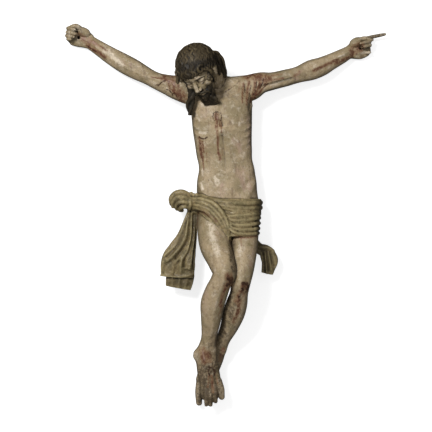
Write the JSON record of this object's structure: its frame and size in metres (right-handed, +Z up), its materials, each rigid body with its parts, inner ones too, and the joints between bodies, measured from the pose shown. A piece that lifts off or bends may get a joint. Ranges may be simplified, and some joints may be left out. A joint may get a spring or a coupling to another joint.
{
  "type": "carved wooden corpus figure",
  "caption": "Carved and painted wooden corpus of a crucifix: arms outstretched, bowed bearded head, loincloth knotted at the hip, feet crossed; it lies on its back, without its cross.",
  "frame": {"origin": "middle of the outline, on the plane that the figure lies on and that its cross had", "axes": "+X to the viewer's right, towards the figure's left hand; +Y towards the head; +Z up, out of the figure's front"},
  "size_m": [0.5174, 0.6152, 0.1264],
  "materials": {
    "painted_wood": "aged oil paint over chalk ground, crackled, worn and grimy, half gloss"
  },
  "bodies": {
    "root": {"body": "painted_wood", "right_arm": "painted_wood", "left_arm": "painted_wood"}
  },
  "joints": []
}
